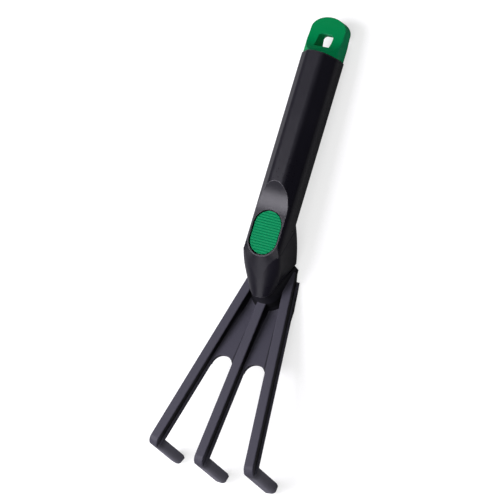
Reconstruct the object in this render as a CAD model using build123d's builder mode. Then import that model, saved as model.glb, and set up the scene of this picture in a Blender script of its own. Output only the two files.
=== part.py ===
"""Hand cultivator: octagonal handle, cranked neck, hanging cap, thumb pad and a three-tine head.

The tool lies as it would on a bench: it rests on its three claw tips and on the
lower rear rim of the grip. +X points to the tines, +Z is up, and the XZ plane is
the plane of symmetry. The origin is on the bench, under the middle of the tool.
All sizes are in millimetres.
"""
import os
from math import cos, radians, sin, tan

from build123d import *

# ---- where the three straight stretches of the tool lie ---------------------
TINE_RISE = 16.31           # the tines rise towards their tips, degrees from the bench
HANDLE_TO_TINES = 11.94     # the grip falls towards the head, degrees from the tines
NECK_TO_TINES = 46.0        # the neck falls more steeply, degrees from the tines
APEX_X, APEX_Z = -42.92, -12.05  # where the tine plane crosses the handle's datum
AXIS_HEIGHT = 32.1          # grip axis above the tine plane at that datum
NECK_X, NECK_Z = 34.5, 24.8     # where neck axis and grip axis cross, in the tine plane

# ---- grip ------------------------------------------------------------------
FLATS = 26.2                # across the flats of the octagon
EDGE_ROUND = 5.0            # rounding of the eight long edges
GRIP_REAR = -73.8           # rear rim, along the grip axis, at the sides
SEAM_ARCH = 1.5             # how far the rim bows to the rear at its middle
GRIP_FRONT = 62.0
BORE = 20.6
BORE_END = 4.0
RIM_BEVEL = 0.7

# ---- thumb rest and its pad --------------------------------------------------
REST_HEIGHT = 7.7           # flat of the thumb rest above the grip axis
REST_FLAT = 30.0            # where the flat begins
REST_SWEEP, REST_ARC = 38.0, 34.0   # radius and angle of the hollow that leads down to it
ARCH_CENTRE, ARCH_LENGTH, ARCH_WIDTH = 29.0, 18.6, 11.0     # half ellipse around its rear
REST_END = 47.4             # centre of the rounded front end
REST_RADIUS = 10.9
POCKET_RADIUS = 10.1
POCKET_REAR = 38.3          # centre of the pocket's rear end
POCKET_DEPTH = 3.2
PAD_GAP = 0.8
PAD_DROP = 0.5              # rib tips below the flat
RIB_PITCH = 1.7
GROOVE_RADIUS, GROOVE_DEPTH = 0.8, 0.45     # channels between the pad's ribs

# ---- neck ------------------------------------------------------------------
CRANK_S, CRANK_N = 33.2, -6.6   # side corner where grip turns into neck
CRANK_ANGLE = 28.0          # plane of the turn, degrees above the grip axis
LAP = 1.5                   # neck and grip run past that plane into each other
NECK_ROUND = 3.0            # rounding of its lengthwise edges
SLEEVE_X, SLEEVE_Z = 79.1, 7.7  # front lip of the neck above the tine plane
SLEEVE_TILT = 14.0          # plane of the neck's open end, degrees above the tines

# ---- head ------------------------------------------------------------------
FAN_X = -7.5                # the three tines radiate from here
FAN_ANGLE = 10.35
TINE_REACH = 197.4          # fan centre to the outside of the bend
RIB_WIDTH = 6.6
RIB_TOP = 4.2               # rib above its flange
FLANGE_WIDTH = 9.0
TINE_DEPTH = 6.7            # rib and flange together
TINE_START = 64.0           # rear end of the tines, from the fan centre
CLAW_LENGTH = 40.5
CLAW_DEPTH = 7.0
CLAW_LEAN = 1.7             # claws lean forward, degrees
CLAW_ROUND = 5.5            # outside of the bend
TIP_BEVEL = 2.0
CLAW_NOSE = 3.0             # rounding of the claws' front edges, seen from above
NOTCH_X = 118.8             # rounded end of the gap between two tines
WEB_THICK = 2.4
WEB_DIP = 7.0               # web surface below the ribs, next to the neck
HEEL_CLEAR = 0.70           # the heel's underside clears the bench
BOSS_INSET = 1.0            # boss inside the outline of the neck's open end
PEG_D, PEG_LENGTH = 3.0, 2.8
PEG_PLACES = (31.0, 52.0)   # along the grip

# ---- tang and its screw -------------------------------------------------------
TANG_WIDTH, TANG_THICK = 14.0, 9.0
TANG_TOP = 0.0              # along the neck axis from the crossing point
TANG_N = -2.0               # tang centre, above the neck axis
TANG_PLAY = 0.2
SCREW_S = 41.0
SCREW_D, SCREW_LENGTH = 4.0, 12.0
HEAD_D, HEAD_THICK = 7.6, 2.2
THREAD_PITCH, THREAD_DEPTH, THREAD_TURNS = 1.4, 0.5, 6
CROSS_LENGTH, CROSS_WIDTH, CROSS_DEPTH = 4.2, 1.1, 1.4

# ---- hanging cap ------------------------------------------------------------
CAP_FLATS = 25.2
CAP_END = -99.3
CAP_SHOULDER = -91.0
CAP_HALF_WIDTH = 12.3
# Half thickness of the cap, from its shoulder to beyond its end.
CAP_PROFILE = ((-75.3, 12.5), (-79.0, 7.4), (-84.5, 4.75), (-91.5, 4.0), (-103.3, 3.9))
SLOT_REAR, SLOT_FRONT, SLOT_WIDTH = -88.4, -79.4, 10.8
SLOT_ROUND_REAR, SLOT_ROUND_FRONT = 2.8, 1.6
PLUG_D, PLUG_WALL = 20.2, 2.0
PLUG_ROOT, PLUG_TIP = -76.0, -58.8
SLIT_LENGTH, SLIT_WIDTH = 10.0, 2.0
SNAP_S, SNAP_WIDTH, SNAP_HEIGHT = -62.0, 2.0, 0.4


def frame_at(frame, x, z, turn):
    """A frame moved within the plane of symmetry and turned nose down by some degrees."""
    return Plane(frame.location * Location((x, 0, z), (0, turn, 0)))


def across(frame, distance):
    """Plane square to a frame's own x axis: sketch x is sideways, sketch y is up."""
    origin = frame.from_local_coords(Vector(distance, 0, 0))
    return Plane(origin, x_dir=frame.y_dir, z_dir=frame.x_dir)


def beside(frame):
    """The plane of symmetry: sketch x runs along the frame, sketch y is up."""
    return Plane(frame.origin, x_dir=frame.x_dir, z_dir=frame.y_dir * -1)


BENCH = Plane.XY
TINES = frame_at(BENCH, APEX_X, APEX_Z, -TINE_RISE)
GRIP = frame_at(TINES, 0, AXIS_HEIGHT, HANDLE_TO_TINES)
NECK = frame_at(TINES, NECK_X, NECK_Z, NECK_TO_TINES)
CRANK = frame_at(GRIP, CRANK_S, CRANK_N, -CRANK_ANGLE)
SLEEVE_END = frame_at(TINES, SLEEVE_X, SLEEVE_Z, -SLEEVE_TILT)

os.makedirs("parts", exist_ok=True)

# ---- shared outlines ---------------------------------------------------------
HALF = FLATS / 2

with BuildSketch() as grip_section:
    RegularPolygon(HALF, 8, major_radius=False, rotation=22.5)
    fillet(grip_section.vertices(), radius=EDGE_ROUND)

with BuildSketch() as cap_section:
    RegularPolygon(CAP_FLATS / 2, 8, major_radius=False, rotation=22.5)
    fillet(cap_section.vertices(), radius=EDGE_ROUND)


def seam_plan(reach):
    """Plan of everything on one side of the bowed seam between grip and cap."""
    with BuildSketch() as plan:
        with BuildLine():
            ThreePointArc((GRIP_REAR, -HALF), (GRIP_REAR - SEAM_ARCH, 0), (GRIP_REAR, HALF))
            Polyline((GRIP_REAR, HALF), (GRIP_REAR, 2 * HALF), (reach, 2 * HALF),
                     (reach, -2 * HALF), (GRIP_REAR, -2 * HALF), (GRIP_REAR, -HALF))
        make_face()
    return plan.sketch


# ---- what the thumb rest takes out of the grip: an arched hollow, then a long flat ----
sweep_top = (REST_FLAT - REST_SWEEP * sin(radians(REST_ARC)),
             REST_HEIGHT + REST_SWEEP * (1 - cos(radians(REST_ARC))))
with BuildPart() as rest_cut:
    with BuildSketch(GRIP):
        with Locations((ARCH_CENTRE, 0)):
            Ellipse(ARCH_LENGTH, ARCH_WIDTH)
            Rectangle(60, 60, align=(Align.MIN, Align.CENTER))
    extrude(amount=40)
    with BuildSketch(beside(GRIP)):
        with BuildLine():
            RadiusArc(sweep_top, (REST_FLAT, REST_HEIGHT), -REST_SWEEP)
            Polyline((REST_FLAT, REST_HEIGHT), (90, REST_HEIGHT), (90, 40), (sweep_top[0], 40),
                     sweep_top)
        make_face()
    extrude(amount=40, both=True, mode=Mode.INTERSECT)

# ---- waste around the rounded front of the thumb rest --------------------------
DROP = 20.0                             # how far down it is shaped
LENGTHEN, WIDEN, ADVANCE = 1.05, 1.7, 0.6   # growth and forward shift per millimetre down
with BuildPart() as rest_front:
    for depth in (-1.0, DROP):
        with BuildSketch(GRIP.offset(REST_HEIGHT - depth)):
            with Locations((REST_END + ADVANCE * depth, 0)):
                Ellipse(REST_RADIUS + LENGTHEN * depth, REST_RADIUS + WIDEN * depth)
    loft()

with BuildPart() as rest_waste:
    with BuildSketch(GRIP.offset(REST_HEIGHT - DROP)):
        with Locations((REST_END - 0.4, 0)):
            Rectangle(40, 60, align=(Align.MIN, Align.CENTER))
    extrude(amount=DROP + 1.0)
    add(rest_front.part, mode=Mode.SUBTRACT)

# ---- grip on its own, cut off along the plane of the turn -----------------------
with BuildPart() as grip:
    with BuildSketch(across(GRIP, GRIP_REAR - SEAM_ARCH)):
        add(grip_section.sketch)
    extrude(amount=GRIP_FRONT - GRIP_REAR + SEAM_ARCH)
    with BuildSketch(GRIP):
        add(seam_plan(GRIP_FRONT + 10))
    extrude(amount=HALF + 1, both=True, mode=Mode.INTERSECT)
    with BuildSketch(beside(CRANK)):
        with BuildLine():
            Polyline((0, -LAP / 3), (60, -LAP / 3), (60, -60), (30, -60), close=True)
        make_face()
    extrude(amount=HALF + 5, both=True, mode=Mode.SUBTRACT)

# ---- neck sleeve: swells a little between the plane of the turn and its open end ------
# Each outline is its back, side corner and front corner (along, half-width), then its front.
CRANK_OUTLINE = ((-6.0, 6.0), (0.0, HALF + 0.05), (24.4, HALF + 0.05), 29.25)
MIDDLE_OUTLINE = ((-34.3, 6.7), (-29.4, 14.4), (-6.3, 13.2), 0.0)
SLEEVE_OUTLINE = ((-33.1, 7.5), (-29.5, 14.2), (-7.8, 9.2), 0.0)
NECK_START = CRANK.offset(LAP)


def down_the_neck(start, end, share=0.45):
    """Point some way from the neck's start to its open end, from their local x."""
    first = NECK_START.from_local_coords(Vector(start, 0))
    last = SLEEVE_END.from_local_coords(Vector(end, 0))
    return first * (1 - share) + last * share


middle_front = down_the_neck(CRANK_OUTLINE[3], SLEEVE_OUTLINE[3])
middle_back = down_the_neck(CRANK_OUTLINE[0][0], SLEEVE_OUTLINE[0][0])
forward = (middle_front - middle_back).normalized()
NECK_MIDDLE = Plane(middle_front, x_dir=forward, z_dir=forward.cross(SLEEVE_END.y_dir))


def neck_outline(back, side, corner, front, inset=0.0):
    """Neck section: flat back, slanted back corners, flat sides and a round front."""
    with BuildSketch() as outline:
        with BuildLine():
            ThreePointArc((corner[0], inset - corner[1]), (front - inset, 0),
                          (corner[0], corner[1] - inset))
            Polyline(
                (corner[0], corner[1] - inset),
                (side[0] + inset, side[1] - inset),
                (back[0] + inset, back[1] - inset / 2),
                (back[0] + inset, inset / 2 - back[1]),
                (side[0] + inset, inset - side[1]),
                (corner[0], inset - corner[1]),
            )
        make_face()
    return outline.sketch


with BuildPart() as sleeve:
    with BuildSketch(NECK_START):
        add(neck_outline(*CRANK_OUTLINE))
    with BuildSketch(NECK_MIDDLE):
        add(neck_outline(*MIDDLE_OUTLINE))
    with BuildSketch(SLEEVE_END):
        add(neck_outline(*SLEEVE_OUTLINE))
    loft()
    ridges = sleeve.edges().filter_by(lambda edge: edge.length > 20 and abs(edge.center().Y) > 3)
    fillet(ridges, radius=NECK_ROUND)

# ---- handle ------------------------------------------------------------------
POCKET_FLOOR = REST_HEIGHT - POCKET_DEPTH
SCREW_SEAT = frame_at(GRIP, SCREW_S, POCKET_FLOOR - HEAD_THICK - 0.2, 0)
BELOW = (Align.CENTER, Align.CENTER, Align.MAX)
ABOVE = (Align.CENTER, Align.CENTER, Align.MIN)


def rear_rim(edge):
    """True for the outer edges of the grip's rear rim."""
    middle = GRIP.to_local_coords(edge.center())
    return middle.X < GRIP_REAR + 1 and (middle.Y**2 + middle.Z**2) ** 0.5 > BORE / 2 + 0.6


with BuildPart() as handle:
    add(grip.part)
    add(sleeve.part)
    add(rest_cut.part, mode=Mode.SUBTRACT)
    add(rest_waste.part, mode=Mode.SUBTRACT)
    # Bore from the rear, and the pocket for the pad.
    with BuildSketch(across(GRIP, GRIP_REAR - 3)):
        Circle(BORE / 2)
    extrude(amount=BORE_END - GRIP_REAR + 3, mode=Mode.SUBTRACT)
    with BuildSketch(across(GRIP, SNAP_S - SNAP_WIDTH / 2 - 0.2)):
        Circle(PLUG_D / 2 + SNAP_HEIGHT + 0.15)
    extrude(amount=SNAP_WIDTH + 0.4, mode=Mode.SUBTRACT)
    with BuildSketch(GRIP.offset(POCKET_FLOOR)):
        with Locations(((POCKET_REAR + REST_END) / 2, 0)):
            SlotCenterToCenter(REST_END - POCKET_REAR, 2 * POCKET_RADIUS)
    extrude(amount=POCKET_DEPTH + 2, mode=Mode.SUBTRACT)
    # Socket for the tang, and the stepped hole for its screw.
    with BuildSketch(across(NECK, TANG_TOP - 1)):
        with Locations((0, TANG_N)):
            Rectangle(TANG_WIDTH + 2 * TANG_PLAY, TANG_THICK + 2 * TANG_PLAY)
    extrude(amount=60, mode=Mode.SUBTRACT)
    with Locations(SCREW_SEAT.location):
        Cylinder(SCREW_D / 2 + 0.2, 12, align=BELOW, mode=Mode.SUBTRACT)
        Cylinder(HEAD_D / 2 + 0.2, HEAD_THICK + 1, align=ABOVE, mode=Mode.SUBTRACT)
    with Locations([frame_at(GRIP, place, POCKET_FLOOR, 0).location for place in PEG_PLACES]):
        Cylinder(PEG_D / 2 + 0.05, PEG_LENGTH + 0.3, align=BELOW, mode=Mode.SUBTRACT)
    bevel_edges = handle.edges().filter_by(rear_rim)
    chamfer(bevel_edges, length=RIM_BEVEL)
handle.part.label = "handle"
export_step(handle.part, "parts/handle.step")

# ---- thumb pad: stadium with transverse ribs --------------------------------------
PAD_RADIUS = POCKET_RADIUS - PAD_GAP
with BuildPart() as thumb_pad:
    with BuildSketch(GRIP.offset(REST_HEIGHT - POCKET_DEPTH)):
        with Locations(((POCKET_REAR + REST_END) / 2, 0)):
            SlotCenterToCenter(REST_END - POCKET_REAR, 2 * PAD_RADIUS)
    extrude(amount=POCKET_DEPTH - PAD_DROP)
    # Grooves between the ribs, each a shallow round channel from side to side.
    pad_rear, pad_front = POCKET_REAR - PAD_RADIUS, REST_END + PAD_RADIUS
    grooves = int((pad_front - pad_rear) / RIB_PITCH)
    with BuildSketch(beside(GRIP)):
        with Locations(((pad_rear + pad_front) / 2, REST_HEIGHT - PAD_DROP - GROOVE_DEPTH + GROOVE_RADIUS)):
            with GridLocations(RIB_PITCH, 1, grooves, 1):
                Circle(GROOVE_RADIUS)
    extrude(amount=POCKET_RADIUS, both=True, mode=Mode.SUBTRACT)
    with Locations([frame_at(GRIP, place, POCKET_FLOOR, 0).location for place in PEG_PLACES]):
        Cylinder(PEG_D / 2, PEG_LENGTH, align=BELOW)
thumb_pad.part.label = "thumb_pad"
export_step(thumb_pad.part, "parts/thumb_pad.step")


# ---- one tine, lying along +X from the fan centre with its rib's top at Z = 0 --------
def tine_side(top, corner_round):
    """Side view of a tine and its claw, from a given level down."""
    lean = tan(radians(CLAW_LEAN))
    claw_rear = TINE_REACH - CLAW_DEPTH
    front_tip = (TINE_REACH + lean * (CLAW_LENGTH - TIP_BEVEL), TIP_BEVEL - CLAW_LENGTH)
    rear_tip = (claw_rear + lean * CLAW_LENGTH + 1.0, -CLAW_LENGTH)
    with BuildSketch() as side:
        with BuildLine():
            FilletPolyline((TINE_START, top), (TINE_REACH - top * lean, top), front_tip,
                           radius=corner_round)
            Polyline(front_tip, rear_tip, (claw_rear + lean * (CLAW_LENGTH - 3), 3 - CLAW_LENGTH),
                     (claw_rear + lean * TINE_DEPTH, -TINE_DEPTH), (TINE_START, -TINE_DEPTH),
                     (TINE_START, top))
        make_face()
    return side.sketch


def claw_nose():
    """Plan of a tine whose front corners are well rounded."""
    with BuildSketch() as plan:
        with Locations((TINE_REACH, 0)):
            Rectangle(TINE_REACH, FLANGE_WIDTH, align=(Align.MAX, Align.CENTER))
        fillet(plan.vertices().group_by(Axis.X)[-1], radius=CLAW_NOSE)
    return plan.sketch


def long_outer_edges(part, width):
    """Edges around the two side faces of an extruded tine, without its rear end."""
    edges = part.edges().filter_by(lambda e: abs(abs(e.center().Y) - width / 2) < 1e-3)
    return edges.filter_by(lambda e: e.center().X > TINE_START + 1)


CLAW_DIRECTION = (sin(radians(CLAW_LEAN)), 0, -cos(radians(CLAW_LEAN)))

with BuildPart() as flange:
    with BuildSketch(Plane.XZ):
        add(tine_side(-RIB_TOP, 2.0))
    extrude(amount=FLANGE_WIDTH / 2, both=True)
    fillet(long_outer_edges(flange, FLANGE_WIDTH), radius=0.9)
    with BuildSketch():
        add(claw_nose())
    extrude(amount=CLAW_LENGTH + 5, dir=CLAW_DIRECTION, mode=Mode.INTERSECT)

with BuildPart() as rib:
    with BuildSketch(Plane.XZ):
        add(tine_side(0, CLAW_ROUND))
    extrude(amount=RIB_WIDTH / 2, both=True)
    fillet(long_outer_edges(rib, RIB_WIDTH), radius=0.8)
    with BuildSketch():
        add(claw_nose())
    extrude(amount=CLAW_LENGTH + 5, dir=CLAW_DIRECTION, mode=Mode.INTERSECT)
    with Locations((0, 0, -RIB_TOP - 1.0)):
        Box(500, 50, 60, align=BELOW, mode=Mode.SUBTRACT)

# ---- tine head -----------------------------------------------------------------------
PALM_PLAN = ((47.3, 9.0), (50.0, 13.0), (55.0, 16.2), (60.0, 17.8), (66.0, 18.4), (74.0, 18.9),
             (84.0, 19.7), (84.0, 8.0))
BOSS_PLAN = ((49.0, 11.0), (55.0, 18.8), (76.0, 13.3), 83.3)    # outline of the boss at its foot
WEB_REAR, WEB_RISE, WEB_FRONT = 50.0, 84.0, 150.0   # its surface is level up to WEB_RISE
WEB_TOP = ((WEB_REAR, -WEB_DIP), (WEB_RISE, -WEB_DIP), (NOTCH_X, -RIB_TOP), (WEB_FRONT, -RIB_TOP))
WEB_UNDERSIDE = ((WEB_FRONT, -TINE_DEPTH), (NOTCH_X, -TINE_DEPTH), (WEB_RISE, -WEB_DIP - WEB_THICK),
                 (WEB_REAR, -WEB_DIP - WEB_THICK))
HOLLOW_REAR, HOLLOW_TOP = 54.0, 8.0
SPREAD = tan(radians(FAN_ANGLE))
notch_from_fan = NOTCH_X - FAN_X
half_gap = sin(radians(FAN_ANGLE / 2))
notch_centre = (notch_from_fan - FLANGE_WIDTH / 2) / (1 - half_gap)
notch_radius = notch_centre * half_gap - FLANGE_WIDTH / 2

with BuildPart() as webs:
    web_end = notch_centre * cos(radians(FAN_ANGLE / 2))
    with BuildSketch(frame_at(TINES, FAN_X, 0, 0).offset(-20)):
        with BuildLine():
            Polyline((80, 80 * SPREAD), (web_end, web_end * SPREAD), (web_end, -web_end * SPREAD),
                     (80, -80 * SPREAD), close=True)
        make_face()
        with PolarLocations(notch_centre, 2, start_angle=-FAN_ANGLE / 2, angular_range=FAN_ANGLE,
                            endpoint=True):
            Circle(notch_radius, mode=Mode.SUBTRACT)
    extrude(amount=25)
    with BuildSketch(beside(TINES)):
        with BuildLine():
            Polyline(*WEB_TOP, *WEB_UNDERSIDE, close=True)
        make_face()
    extrude(amount=60, both=True, mode=Mode.INTERSECT)


def outer_rib(x):
    """Half-width out to the inner side of an outer tine's rib, at some x."""
    return (x - FAN_X) * SPREAD - RIB_WIDTH / 2 / cos(radians(FAN_ANGLE))


# What the hollows between the ribs take away, down to the web.
with BuildPart() as hollows:
    with BuildSketch(TINES.offset(-20)):
        with BuildLine():
            Polyline((HOLLOW_REAR, RIB_WIDTH / 2), (NOTCH_X, RIB_WIDTH / 2),
                     (NOTCH_X, outer_rib(NOTCH_X)), (HOLLOW_REAR, outer_rib(HOLLOW_REAR)), close=True)
        make_face()
        mirror(about=Plane.XZ)
    extrude(amount=25)
    with BuildSketch(beside(TINES)):
        with BuildLine():
            Polyline(*WEB_TOP, (WEB_FRONT, HOLLOW_TOP), (WEB_REAR, HOLLOW_TOP), close=True)
        make_face()
    extrude(amount=60, both=True, mode=Mode.INTERSECT)

with BuildPart() as tine_head:
    with Locations([TINES.location * Location((FAN_X, 0, 0), (0, 0, turn))
                    for turn in (-FAN_ANGLE, 0, FAN_ANGLE)]):
        add(flange.part)
        add(rib.part)
    # Palm plate, rounded at the shoulders.
    with BuildSketch(TINES.offset(-WEB_DIP - WEB_THICK)):
        with BuildLine():
            Polyline((PALM_PLAN[0][0], 0), *PALM_PLAN, (84.0, 0), close=True)
        make_face()
        mirror(about=Plane.XZ)
    extrude(amount=WEB_DIP + WEB_THICK - RIB_TOP)
    add(hollows.part, mode=Mode.SUBTRACT)
    add(webs.part)
    # Boss that fills the open end of the neck.
    with BuildSketch(TINES.offset(-WEB_DIP - WEB_THICK)):
        add(neck_outline(*BOSS_PLAN))
    with BuildSketch(SLEEVE_END):
        add(neck_outline(*SLEEVE_OUTLINE, inset=BOSS_INSET))
    loft(ruled=True)
    # Tang, with the hole that its screw cuts.
    with BuildSketch(across(NECK, TANG_TOP)):
        with Locations((0, TANG_N)):
            Rectangle(TANG_WIDTH, TANG_THICK)
    extrude(amount=38)
    with Locations(SCREW_SEAT.location):
        Cylinder(SCREW_D / 2 + 0.05, SCREW_LENGTH + 0.3, align=BELOW, mode=Mode.SUBTRACT)
    # Bevel under the heel, level with the bench.
    with Locations((0, 0, HEEL_CLEAR)):
        Box(100, 60, 20, align=BELOW, mode=Mode.SUBTRACT)
tine_head.part.label = "tine_head"
export_step(tine_head.part, "parts/tine_head.step")

# ---- tang screw ----------------------------------------------------------------------
thread = []
for turn in range(THREAD_TURNS):
    thread.append((SCREW_D / 2, -THREAD_PITCH * (turn + 1)))
    thread.append((SCREW_D / 2 - THREAD_DEPTH, -THREAD_PITCH * (turn + 1.5)))

with BuildPart() as tang_screw:
    with BuildSketch(beside(SCREW_SEAT)):
        with BuildLine():
            Polyline((0, HEAD_THICK), (HEAD_D / 2 - 1.0, HEAD_THICK), (HEAD_D / 2, HEAD_THICK - 1.0),
                     (HEAD_D / 2, 0), (SCREW_D / 2 - THREAD_DEPTH, 0), *thread, (0, -SCREW_LENGTH),
                     close=True)
        make_face()
    revolve(axis=Axis(SCREW_SEAT.origin, SCREW_SEAT.z_dir))
    # Cross recess.
    with BuildSketch(SCREW_SEAT.offset(HEAD_THICK)):
        Rectangle(CROSS_LENGTH, CROSS_WIDTH)
        Rectangle(CROSS_WIDTH, CROSS_LENGTH)
    extrude(amount=-CROSS_DEPTH, mode=Mode.SUBTRACT)
tang_screw.part.label = "tang_screw"
export_step(tang_screw.part, "parts/tang_screw.step")

# ---- hanging cap ------------------------------------------------------------------------
with BuildPart() as end_cap:
    with BuildSketch(across(GRIP, CAP_END - 1)):
        add(cap_section.sketch)
    extrude(amount=GRIP_REAR - CAP_END + 1.1)
    # Plan: sides draw in a little, then a round end.
    with BuildSketch(GRIP.offset(-HALF)):
        with Locations((CAP_SHOULDER, 0)):
            Rectangle(-CAP_SHOULDER, 2 * CAP_HALF_WIDTH, align=(Align.MIN, Align.CENTER))
        with Locations((CAP_SHOULDER, 0)):
            Ellipse(CAP_SHOULDER - CAP_END, CAP_HALF_WIDTH)
    extrude(amount=2 * HALF, mode=Mode.INTERSECT)
    # Side view: full height at the seam, hollowed to a thin tab at the slot.
    with BuildSketch(beside(GRIP).offset(-HALF)):
        with BuildLine():
            Spline(*CAP_PROFILE, tangents=((-0.3, -1), (-1, 0)))
            Polyline(CAP_PROFILE[-1], (CAP_PROFILE[-1][0], 0), (-60, 0), (-60, 14), (CAP_PROFILE[0][0], 14),
                     CAP_PROFILE[0])
        make_face()
        mirror(about=Plane.XZ)
    extrude(amount=2 * HALF, mode=Mode.INTERSECT)
    with BuildSketch(GRIP):
        add(seam_plan(-2 * HALF + CAP_END))
    extrude(amount=HALF + 1, both=True, mode=Mode.INTERSECT)
    # Hanging slot.
    with BuildSketch(GRIP) as slot:
        with Locations((SLOT_REAR, 0)):
            Rectangle(SLOT_FRONT - SLOT_REAR, SLOT_WIDTH, align=(Align.MIN, Align.CENTER))
        corners = slot.vertices().sort_by(GRIP.location.x_axis)
        fillet(corners[:2], radius=SLOT_ROUND_REAR)
        fillet(corners[2:], radius=SLOT_ROUND_FRONT)
    extrude(amount=HALF, both=True, mode=Mode.SUBTRACT)
    # Plug: a slit tube with a snap bead.
    with BuildSketch(across(GRIP, PLUG_ROOT)):
        Circle(PLUG_D / 2)
    extrude(amount=PLUG_TIP - PLUG_ROOT)
    with BuildSketch(across(GRIP, SNAP_S - SNAP_WIDTH / 2)):
        Circle(PLUG_D / 2 + SNAP_HEIGHT)
    extrude(amount=SNAP_WIDTH)
    with BuildSketch(across(GRIP, PLUG_ROOT)):
        Circle(PLUG_D / 2 - PLUG_WALL)
    extrude(amount=PLUG_TIP - PLUG_ROOT, mode=Mode.SUBTRACT)
    with BuildSketch(across(GRIP, PLUG_TIP)):
        Rectangle(SLIT_WIDTH, 30)
        Rectangle(30, SLIT_WIDTH)
    extrude(amount=-SLIT_LENGTH, mode=Mode.SUBTRACT)
end_cap.part.label = "end_cap"
export_step(end_cap.part, "parts/end_cap.step")
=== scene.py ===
from math import cos, radians, sin

import bpy
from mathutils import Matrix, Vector

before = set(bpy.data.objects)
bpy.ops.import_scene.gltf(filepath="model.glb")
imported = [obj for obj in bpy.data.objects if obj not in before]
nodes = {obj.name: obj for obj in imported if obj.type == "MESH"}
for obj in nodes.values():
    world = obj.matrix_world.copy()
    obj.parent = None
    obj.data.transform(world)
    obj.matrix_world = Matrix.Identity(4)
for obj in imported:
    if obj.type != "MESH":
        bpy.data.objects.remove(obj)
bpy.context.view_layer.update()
collection = bpy.context.scene.collection

# ---- directions and origins that the shading follows, as in the part's source -----------
TINE_RISE = radians(16.31)
TINE_AHEAD = Vector((cos(TINE_RISE), 0, sin(TINE_RISE)))
TINE_UP = Vector((-sin(TINE_RISE), 0, cos(TINE_RISE)))
TINE_ORIGIN = Vector((-0.04292, 0, -0.01205))       # level with the rib tops
FAN_CENTRE = TINE_ORIGIN - 0.0075 * TINE_AHEAD      # the tines radiate from here
FAN_ANGLES = (-10.35, 0.0, 10.35)                   # degrees
GRIP_RISE = radians(4.37)
GRIP_AHEAD = Vector((cos(GRIP_RISE), 0, sin(GRIP_RISE)))
GRIP_UP = Vector((-sin(GRIP_RISE), 0, cos(GRIP_RISE)))
GRIP_ORIGIN = TINE_ORIGIN + 0.0321 * TINE_UP        # on the grip's axis
SIDEWAYS = Vector((0, 1, 0))

# ---- where shades lie along those directions, in metres; a FADE goes from none to full ---
PARTING_LINE = (-0.00012, 0.00012)      # level, from the grip's axis
PARTING_FADE = (0.026, 0.022)           # ahead
# painted shade beside the ribs: the stretch of the tines it covers, and its band on the flanks
PAINTED_SHADE_AHEAD = (0.03, 0.178)                  # ahead
PAINTED_SHADE_FLANK = (-0.0040, -0.0006)       # level, from the rib tops
# painted shadow at the foot of each rib
RIB_FOOT_SHADOW = (-0.0061, -0.0030)           # sideways, from the middle of a rib
RIB_FOOT_SHADOW_FADE = (-0.0030, -0.0037)      # level
# painted shade on the boss under the neck
BOSS_SHADE_FADE = (0.092, 0.086)              # ahead
BOSS_SHADE_LEVEL_FADE = (0.0001, 0.0006)
# painted light on the claws
CLAW_LIGHT_FADE = (0.15, 0.17)                # ahead
CLAW_LIGHT_LEVEL_FADE = (-0.006, -0.012)

# ---- what all the moulded pieces share ---------------------------------------------------
NOISE_RANGE = (0.3, 0.7)        # where most of a noise texture's values lie
SCRATCH_FADE = (0.66, 0.72)     # value of the streaky noise, from none to full
SCUFF = 0.5                     # strength of the scuffs
PATCH_TONE, SCUFF_TONE = 0.6, 0.5       # how far patches and scuffs go to the light tone
EDGE_FADE = (0.985, 0.86)       # cosine of the turn at an edge, from none to full
SCUFF_SHINE, EDGE_SHINE = 0.08, 0.06    # how much smoother scuffs and edges are


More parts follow.
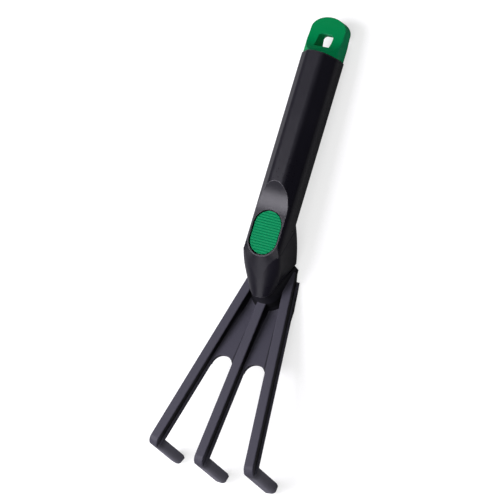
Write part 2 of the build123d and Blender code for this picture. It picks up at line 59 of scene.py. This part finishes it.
# ---- node helpers ------------------------------------------------------------------------
class Mat:
    """A Principled material and short ways to make the nodes that feed it."""

    def __init__(self, name, **constants):
        self.mat = bpy.data.materials.new(name)
        self.mat.use_nodes = True
        self.tree = self.mat.node_tree
        self.bsdf = self.tree.nodes["Principled BSDF"]
        for socket, value in constants.items():
            self.bsdf.inputs[socket.replace("_", " ")].default_value = value
        coordinates = self.tree.nodes.new("ShaderNodeTexCoord")
        self.place = coordinates.outputs["Object"]
        self.facing = coordinates.outputs["Normal"]

    def node(self, kind, sockets=(), **settings):
        """A node whose sockets each get a link or a constant."""
        node = self.tree.nodes.new(kind)
        for key, value in settings.items():
            setattr(node, key, value)
        for socket, source in dict(sockets).items():
            if isinstance(source, bpy.types.NodeSocket):
                self.tree.links.new(source, node.inputs[socket])
            else:
                node.inputs[socket].default_value = source
        return node

    def stretched(self, scale, rotation):
        """Object coordinates, stretched and turned."""
        sockets = {"Vector": self.place, "Scale": scale, "Rotation": rotation}
        return self.node("ShaderNodeMapping", sockets).outputs["Vector"]

    def noise(self, scale, detail, rough=0.5, place=None, distortion=0.0):
        sockets = {"Vector": place or self.place, "Scale": scale, "Detail": detail, "Roughness": rough,
                   "Distortion": distortion}
        return self.node("ShaderNodeTexNoise", sockets).outputs["Fac"]

    def ramp(self, value, start, end, low=0.0, high=1.0):
        """Low up to the start, high from the end on, and evenly from one to the other between."""
        sockets = {"Value": value, "From Min": start, "From Max": end, "To Min": low, "To Max": high}
        return self.node("ShaderNodeMapRange", sockets).outputs["Result"]

    def spread(self, noise, low=0.0, high=1.0):
        """A noise value, spread from low to high."""
        return self.ramp(noise, *NOISE_RANGE, low, high)

    def math(self, operation, a, b=0.0):
        return self.node("ShaderNodeMath", {0: a, 1: b}, operation=operation).outputs[0]

    def times(self, a, b):
        return self.math("MULTIPLY", a, b)

    def dot(self, a, b):
        return self.node("ShaderNodeVectorMath", {0: a, 1: b}, operation="DOT_PRODUCT").outputs["Value"]

    def mix(self, share, a, b):
        return self.node("ShaderNodeMix", {0: share, 6: a, 7: b}, data_type="RGBA").outputs[2]

    def bump(self, height, distance, strength, normal=None):
        sockets = {"Height": height, "Distance": distance, "Strength": strength}
        if normal is not None:
            sockets["Normal"] = normal
        return self.node("ShaderNodeBump", sockets).outputs["Normal"]

    def along(self, direction, origin):
        """Distance of a point from an origin, measured along a direction."""
        place = self.node("ShaderNodeVectorMath", {0: self.place, 1: origin}, operation="SUBTRACT")
        return self.dot(place.outputs["Vector"], direction)

    def band(self, value, low, high, blur):
        """1 between two values, and 0 from a blur's width outside them."""
        return self.times(self.ramp(value, low - blur, low), self.ramp(value, high + blur, high))

    def steep(self, up, start, end):
        """0 on faces square to a direction, rising to 1 on faces that run along it."""
        return self.ramp(self.math("ABSOLUTE", self.dot(self.facing, up)), start, end)

    def out(self, socket, source):
        self.tree.links.new(source, self.bsdf.inputs[socket])


# ---- materials ---------------------------------------------------------------------------
def moulded(name, dark, light, rough, specular, edge_wear_and_highlight_tone, edge=0.5, edge_size=0.0005, grain=0.00002):
    """Moulded plastic: fine grain, handling shine, faint scuffs, and edges rounded and made paler, partly
    by rubbed wear and partly as a painted highlight.
    """
    m = Mat(name, IOR=1.5, Specular_IOR_Level=specular)
    fine = m.noise(scale=2600, detail=2.0, rough=0.6)
    middle = m.noise(scale=420, detail=4.0, rough=0.6)
    broad = m.noise(scale=22, detail=3.0)
    lengthwise = m.stretched(scale=(0.25, 3.0, 3.0), rotation=(0.0, 0.0, 0.35))
    streaks = m.noise(scale=90, detail=5.0, rough=0.65, place=lengthwise, distortion=0.6)
    scratches = m.ramp(streaks, *SCRATCH_FADE)
    scuffs = m.times(scratches, SCUFF)
    # Rounded edges, and how far each point lies on one.
    rounded = m.node("ShaderNodeBevel", {"Radius": edge_size}, samples=4).outputs["Normal"]
    flat = m.node("ShaderNodeNewGeometry").outputs["Normal"]
    on_edge = m.times(m.ramp(m.dot(rounded, flat), *EDGE_FADE), m.spread(middle, edge * 0.6, edge))
    # Colour; the paler edges are partly rubbed wear and partly a painted highlight.
    tone = m.math("ADD", m.times(m.spread(broad), PATCH_TONE), m.times(scuffs, SCUFF_TONE))
    m.colour = m.mix(on_edge, m.mix(tone, dark, light), edge_wear_and_highlight_tone)
    m.out("Base Color", m.colour)
    # Roughness.
    roughness = m.math("ADD", m.spread(broad, rough - 0.05, rough + 0.05), m.spread(middle, -0.03, 0.03))
    roughness = m.math("SUBTRACT", roughness, m.times(scuffs, SCUFF_SHINE))
    m.out("Roughness", m.math("SUBTRACT", roughness, m.times(on_edge, EDGE_SHINE)))
    # Relief.
    relief = m.bump(middle, distance=grain * 1.5, strength=0.6, normal=rounded)
    relief = m.bump(fine, distance=grain, strength=0.8, normal=relief)
    m.normal = m.bump(scratches, distance=-0.00001, strength=0.5, normal=relief)
    m.out("Normal", m.normal)
    return m


def handle_plastic():
    """Black plastic with the mould's parting line round the middle of the grip."""
    m = moulded("black_moulded", dark=(0.0055, 0.0050, 0.0082, 1), light=(0.0085, 0.0078, 0.0120, 1),
                rough=0.32, specular=0.2, edge_wear_and_highlight_tone=(0.17, 0.165, 0.18, 1), edge=1.0)
    line = m.band(m.along(GRIP_UP, GRIP_ORIGIN), *PARTING_LINE, blur=0.0001)
    on_grip = m.ramp(m.along(GRIP_AHEAD, GRIP_ORIGIN), *PARTING_FADE)
    m.out("Normal", m.bump(m.times(line, on_grip), distance=0.00008, strength=1.0, normal=m.normal))
    return m


def head_plastic():
    """Black plastic with painted shade beside the ribs and on the boss, and painted light on the claws."""
    m = moulded("black_head_moulded", dark=(0.035, 0.0335, 0.046, 1), light=(0.046, 0.044, 0.059, 1),
                rough=0.55, specular=0.2, edge_wear_and_highlight_tone=(0.11, 0.108, 0.12, 1))
    level = m.along(TINE_UP, TINE_ORIGIN)
    ahead = m.along(TINE_AHEAD, TINE_ORIGIN)
    steep = m.steep(TINE_UP, 0.75, 0.45)
    on_tines = m.band(ahead, *PAINTED_SHADE_AHEAD, blur=0.006)
    # Painted shade on the flanks of the ribs.
    shaded_flanks = m.times(m.times(steep, m.band(level, *PAINTED_SHADE_FLANK, blur=0.0004)), on_tines)
    # Painted shadow at the foot of each rib, on the side away from the camera, and wide enough to show.
    foot_shadow = 0.0
    for turn in FAN_ANGLES:
        across = cos(radians(turn)) * SIDEWAYS - sin(radians(turn)) * TINE_AHEAD
        strip = m.band(m.along(across, FAN_CENTRE), *RIB_FOOT_SHADOW, blur=0.0003)
        foot_shadow = m.math("MAXIMUM", strip, foot_shadow)
    foot_shadow = m.times(m.times(foot_shadow, m.ramp(level, *RIB_FOOT_SHADOW_FADE)), on_tines)
    painted_shade = m.math("MAXIMUM", shaded_flanks, m.times(foot_shadow, 0.7))
    # Painted shade on the boss under the neck, and painted light on the claws.
    near_neck = m.ramp(ahead, *BOSS_SHADE_FADE)
    shaded_boss_top = m.times(near_neck, m.ramp(level, *BOSS_SHADE_LEVEL_FADE))
    shaded_boss = m.math("MAXIMUM", shaded_boss_top, m.times(near_neck, steep))
    # Painted light: the claws are made paler.
    lit_claws = m.times(m.times(m.ramp(level, *CLAW_LIGHT_LEVEL_FADE), 0.85), m.ramp(ahead, *CLAW_LIGHT_FADE))
    # Colour.
    boss_shade_tone = (0.004, 0.0038, 0.006, 1)
    claw_light_tone = (0.125, 0.122, 0.150, 1)
    painted_shade_tone = (0.001, 0.001, 0.0015, 1)
    colour = m.mix(m.times(shaded_boss, 0.95), m.colour, boss_shade_tone)
    colour = m.mix(lit_claws, colour, claw_light_tone)
    # Painted shade beside the ribs darkens the colour last.
    m.out("Base Color", m.mix(m.times(painted_shade, 0.93), colour, painted_shade_tone))
    return m


def cap_plastic():
    """Green plastic; its steep faces and slot walls are made paler, a painted light."""
    m = moulded("green_moulded", dark=(0.0, 0.150, 0.042, 1), light=(0.0, 0.19, 0.058, 1), rough=0.40,
                specular=0.04, edge_wear_and_highlight_tone=(0.02, 0.36, 0.17, 1), edge=0.35, grain=0.00001)
    # Painted light on the steep faces and slot walls.
    painted_light = m.times(m.steep(GRIP_UP, 0.75, 0.3), 0.8)
    lit_tone = (0.005, 0.40, 0.15, 1)
    m.out("Base Color", m.mix(painted_light, m.colour, lit_tone))
    return m


def pad_plastic():
    return moulded("green_soft_grip", dark=(0.0, 0.170, 0.060, 1), light=(0.0, 0.205, 0.076, 1),
                   rough=0.5, specular=0.06, edge_wear_and_highlight_tone=(0.01, 0.36, 0.17, 1), edge=0.4,
                   edge_size=0.0002, grain=0.000012)


def screw_zinc():
    bright = (0.6, 0.6, 0.61, 1)
    m = moulded("screw_zinc", dark=(0.45, 0.45, 0.46, 1), light=bright, rough=0.35, specular=0.5,
                edge_wear_and_highlight_tone=bright, edge_size=0.0001)
    m.bsdf.inputs["Metallic"].default_value = 1.0
    return m


def floor_paper():
    """White paper that looks burnt out: it glows for the camera only, and no glow falls on the tool."""
    m = Mat("floor_paper", Roughness=0.9, IOR=1.35, Emission_Color=(1, 1, 1, 1))
    tone = m.spread(m.noise(scale=3, detail=3.0))
    m.out("Base Color", m.mix(tone, (0.33, 0.33, 0.33, 1), (0.36, 0.36, 0.36, 1)))
    m.out("Normal", m.bump(m.noise(scale=900, detail=2.0), distance=0.00002, strength=0.4))
    seen_by_camera = m.node("ShaderNodeLightPath").outputs["Is Camera Ray"]
    m.out("Emission Strength", m.times(seen_by_camera, 0.70))
    return m


MAKERS = {"handle": handle_plastic, "tine_head": head_plastic, "end_cap": cap_plastic,
          "thumb_pad": pad_plastic, "tang_screw": screw_zinc}
for name, make in MAKERS.items():
    slots = nodes[name].data.materials
    slots.clear()
    slots.append(make().mat)

# ---- floor -------------------------------------------------------------------------------
FLOOR_LEVEL = -0.0004
FLOOR_REACH = 3
corners = [(x * FLOOR_REACH, y * FLOOR_REACH, FLOOR_LEVEL) for x, y in ((-1, -1), (1, -1), (1, 1), (-1, 1))]
floor_mesh = bpy.data.meshes.new("floor")
floor_mesh.from_pydata(corners, [], [(0, 1, 2, 3)])
floor_mesh.materials.append(floor_paper().mat)
floor = bpy.data.objects.new("floor", floor_mesh)
collection.objects.link(floor)


# ---- light -------------------------------------------------------------------------------
def area_light(name, place, aim, size, watts, shade=(1, 1, 1)):
    light = bpy.data.lights.new(name, "AREA")
    light.shape = "RECTANGLE"
    light.size, light.size_y = size
    light.energy = watts
    light.color = shade
    obj = bpy.data.objects.new(name, light)
    obj.location = place
    obj.rotation_euler = (Vector(aim) - Vector(place)).to_track_quat("-Z", "Y").to_euler()
    collection.objects.link(obj)


area_light("key", place=(0.16, -0.56, 1.0), aim=(0.02, 0, 0), size=(0.55, 0.7), watts=17,
           shade=(0.94, 0.91, 1.0))
area_light("side", place=(0.35, -1.2, 0.8), aim=(0, 0, 0), size=(0.9, 0.8), watts=6)
area_light("front", place=(1.1, -0.35, 0.65), aim=(0.05, 0, 0), size=(0.7, 0.7), watts=5,
           shade=(0.95, 0.93, 1.0))
area_light("top", place=(0.35, 0.3, 1.5), aim=(0, 0, 0), size=(0.9, 0.9), watts=9)

world = bpy.data.worlds.new("studio")
bpy.context.scene.world = world
world.use_nodes = True
background = world.node_tree.nodes["Background"]
background.inputs["Color"].default_value = (0.9, 0.93, 1.0, 1)
background.inputs["Strength"].default_value = 0.05

# ---- camera ------------------------------------------------------------------------------
CAMERA_PLACE = (-0.00686, 0.58150, 1.13306)
CAMERA_TURNS = (7.204, 27.216, 106.438)      # about X, Y and Z, in degrees
camera_data = bpy.data.cameras.new("camera")
camera_data.lens = 144
camera_data.sensor_width = 36
camera_data.clip_end = 20
camera = bpy.data.objects.new("camera", camera_data)
camera.location = CAMERA_PLACE
camera.rotation_euler = [radians(turn) for turn in CAMERA_TURNS]
collection.objects.link(camera)
bpy.context.scene.camera = camera
bpy.context.scene.view_settings.view_transform = "Standard"
